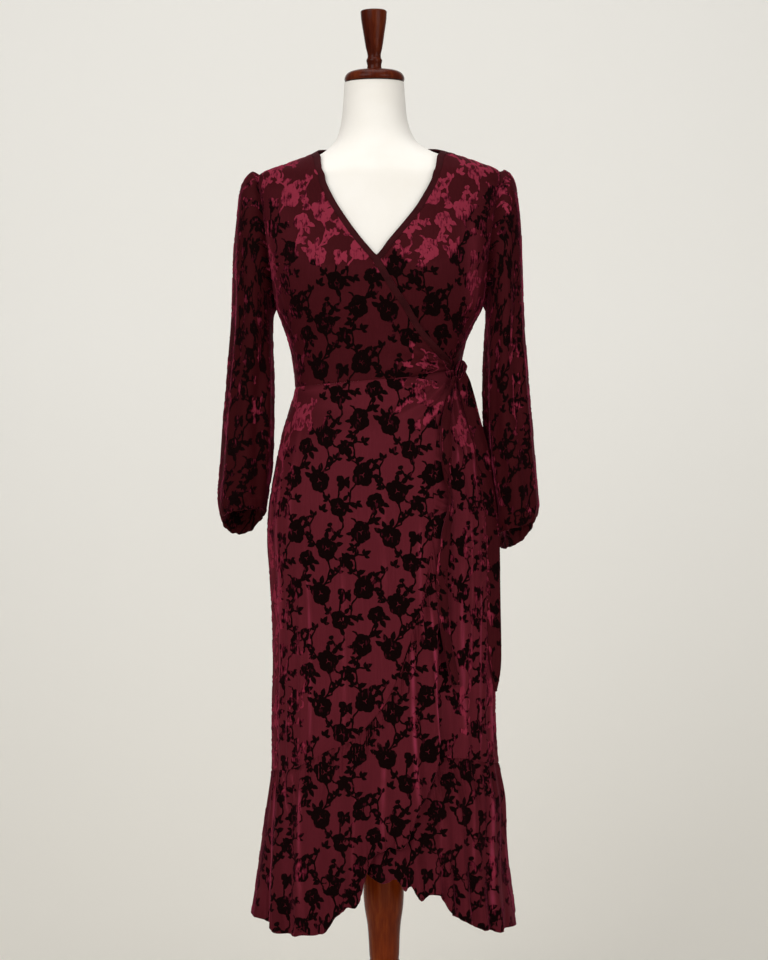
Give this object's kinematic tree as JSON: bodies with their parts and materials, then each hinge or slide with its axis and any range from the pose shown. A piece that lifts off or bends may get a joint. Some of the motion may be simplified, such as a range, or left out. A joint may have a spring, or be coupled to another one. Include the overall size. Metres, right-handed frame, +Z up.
{
  "type": "wrap dress on a limbless dress form",
  "caption": "Long-sleeved wrap dress of burnt-out velvet with a tied waist and a flounced high-low hem, worn by a limbless dress form on a turned wooden pole and round base.",
  "frame": {"origin": "middle of the flat underside of the round base, on the floor under the pole", "axes": "+Z up along the pole, the dress faces -Y, its wearer's left is +X"},
  "size_m": [0.5136, 0.38, 1.676],
  "materials": {
    "velvet": "burnt-out velvet: near-black wine pile motifs on a sheer plum-burgundy ground",
    "band": "plain plum-burgundy crepe, matt",
    "form_cloth": "cream cotton jersey, matt",
    "dark_wood": "dark mahogany, polished",
    "pole_wood": "red-brown turned wood, glossy varnish"
  },
  "bodies": {
    "root": {"bodice_front_left": "velvet", "bodice_front_right": "velvet", "bodice_back": "velvet", "skirt_front_left": "velvet", "skirt_front_right": "velvet", "skirt_back": "velvet", "flounce_front_right": "velvet", "flounce_front_left": "velvet", "flounce_back": "velvet", "sleeve_right": "velvet", "sleeve_left": "velvet", "tie_knot": "velvet", "tie_tail_front": "velvet", "tie_tail_side": "velvet", "neckband_right": "band", "neckband_left": "band", "neckband_back": "band", "cuff_right": "band", "cuff_left": "band", "form_torso": "form_cloth", "form_neck_cap": "dark_wood", "form_finial": "dark_wood", "form_pole": "pole_wood", "form_base": "pole_wood"}
  },
  "joints": []
}
